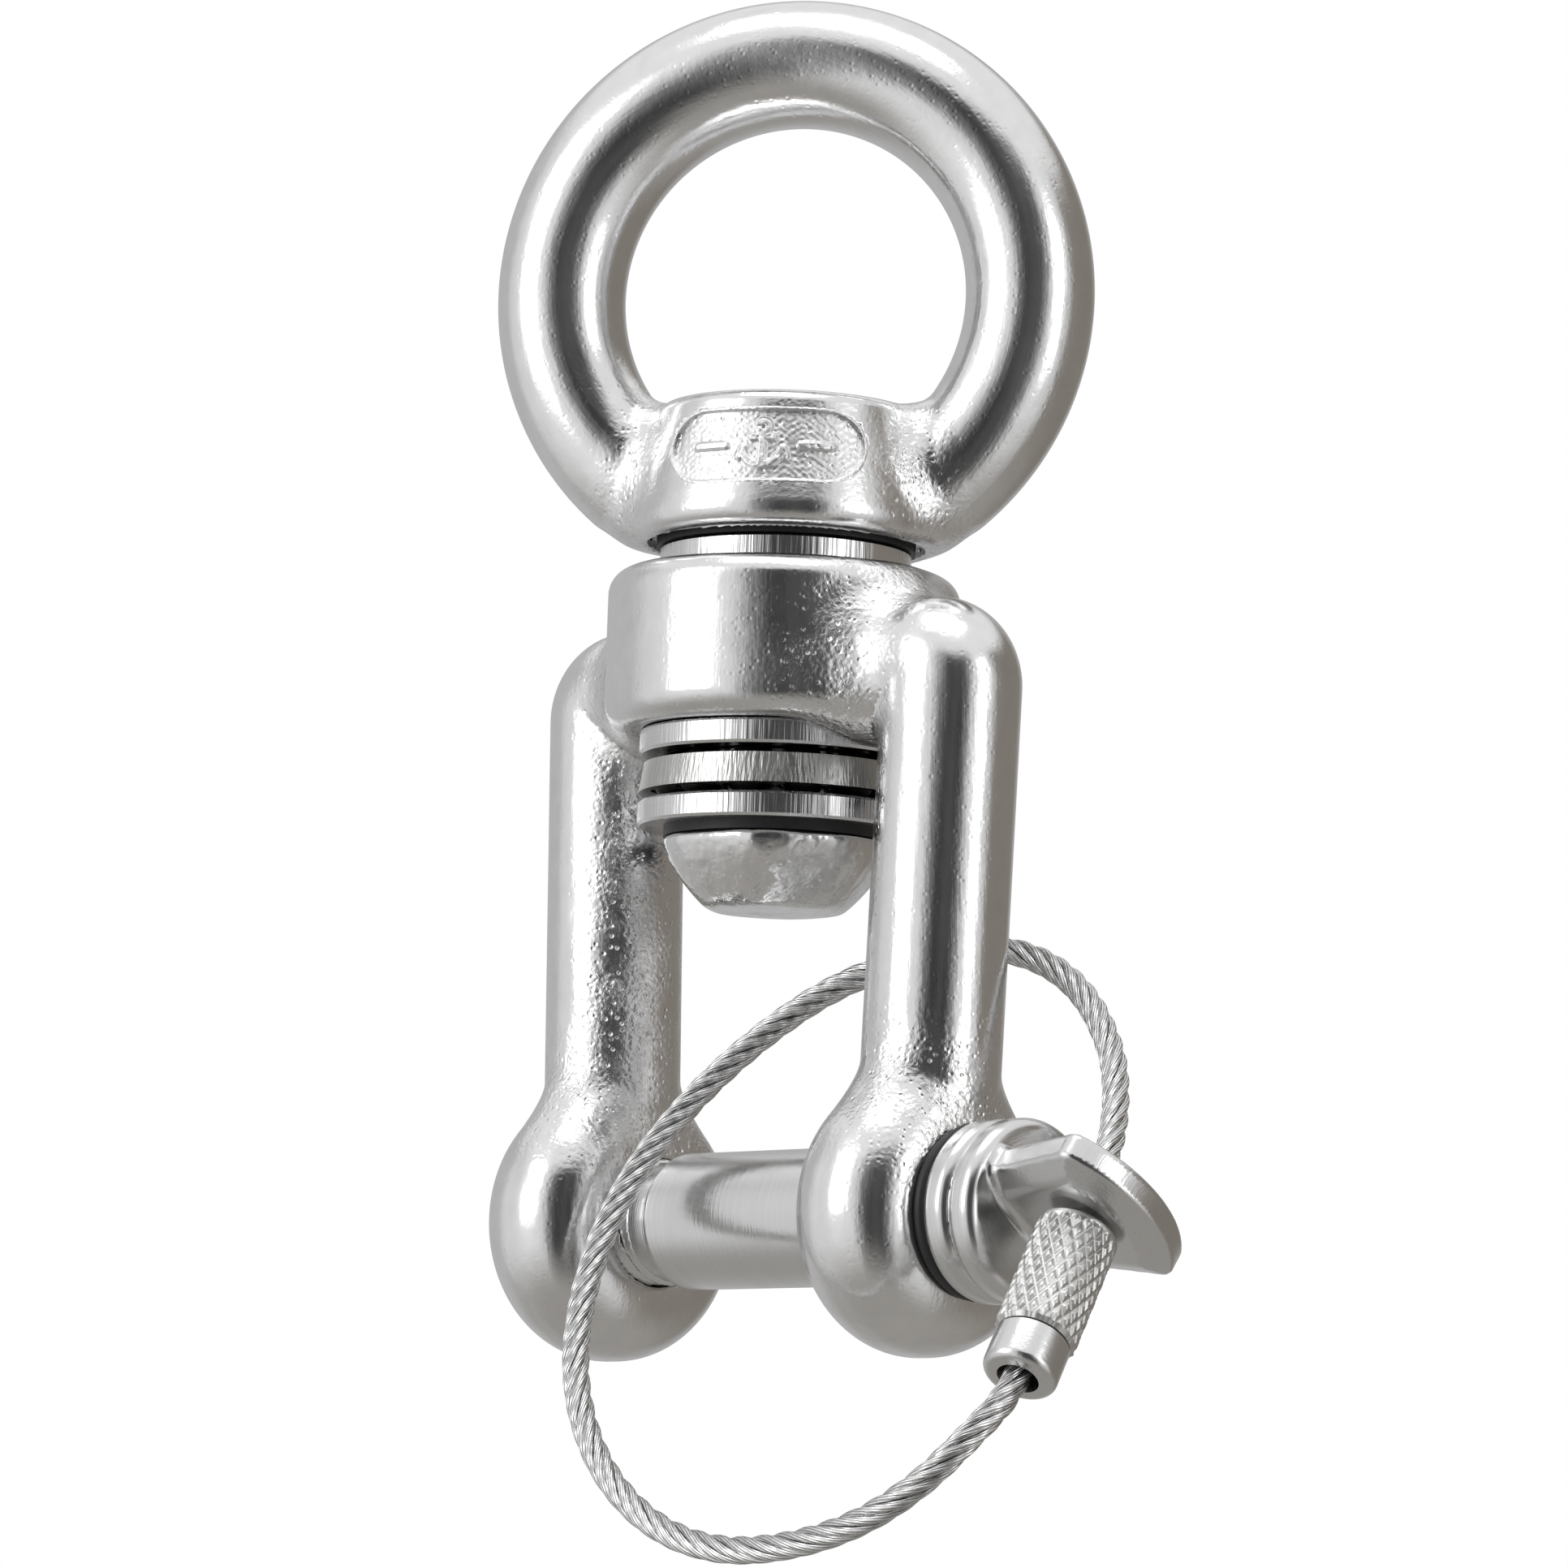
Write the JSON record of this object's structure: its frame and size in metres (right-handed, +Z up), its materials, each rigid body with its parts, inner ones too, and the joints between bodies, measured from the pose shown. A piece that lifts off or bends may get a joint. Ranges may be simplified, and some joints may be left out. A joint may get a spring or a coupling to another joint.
{
  "type": "anchor swivel",
  "caption": "Eye-and-fork anchor swivel: an eye that turns on a thrust bearing above a fork with a removable clevis pin, moused by a closed wire-rope lanyard",
  "frame": {"origin": "centre of the eye's ring", "axes": "+Z up the swivel axis towards the eye, +X along the clevis pin towards its head, -Y the front"},
  "size_m": [0.0777, 0.0416, 0.1467],
  "materials": {
    "polished_steel": "mirror-polished stainless steel forging with faint pits",
    "turned_steel": "turned stainless steel with fine circular marks",
    "cage_steel": "satin stainless steel",
    "ball_steel": "bright ground steel",
    "bush_metal": "plain bearing bronze",
    "pin_steel": "turned and polished stainless steel",
    "knurled_steel": "diamond-knurled stainless steel",
    "wire_rope": "bright stranded stainless wire",
    "black_rubber": "black nitrile"
  },
  "bodies": {
    "eye": {"eye_forging": "polished_steel", "swivel_bolt": "polished_steel", "collar_seal": "black_rubber", "bearing_lower_washer": "turned_steel", "head_washer": "black_rubber"},
    "fork": {"fork_body": "polished_steel", "boss_bush": "bush_metal", "spacer_ring": "turned_steel", "bearing_upper_washer": "turned_steel"},
    "cage": {"bearing_cage": "cage_steel", "bearing_balls": "ball_steel"},
    "pin": {"clevis_pin": "pin_steel", "pin_o_ring": "black_rubber", "lanyard_cable": "wire_rope", "cable_stop": "pin_steel"},
    "barrel": {"lanyard_barrel": "knurled_steel"},
    "ferrule": {"lanyard_ferrule": "pin_steel"}
  },
  "joints": [
    {"name": "swivel", "type": "hinge", "parent": "eye", "child": "fork", "pos_m": [0, 0, -0.0458], "axis": [0, 0, 1], "continuous": true},
    {"name": "cage_turn", "type": "hinge", "parent": "eye", "child": "cage", "pos_m": [0, 0, -0.0458], "axis": [0, 0, 1], "continuous": true},
    {"name": "pin_withdraw", "type": "slide", "parent": "fork", "child": "pin", "axis": [1, 0, 0], "range_m": [0, 0.0425], "deforming": ["lanyard_cable"]},
    {"name": "barrel_screw", "type": "hinge", "parent": "pin", "child": "barrel", "pos_m": [0.04166, -0.00148, -0.0884], "axis": [0.14, -0.5698, -0.8098], "range_deg": [0, 1440]},
    {"name": "ferrule_travel", "type": "slide", "parent": "pin", "child": "ferrule", "axis": [0.14, -0.5698, -0.8098], "range_m": [0, 0.0028], "deforming": ["lanyard_cable"]}
  ],
  "couplings": [
    {"joint": "cage_turn", "follows": "swivel", "ratio": 0.5},
    {"joint": "ferrule_travel", "follows": "barrel_screw", "m_per_rad": 0.00011141}
  ]
}
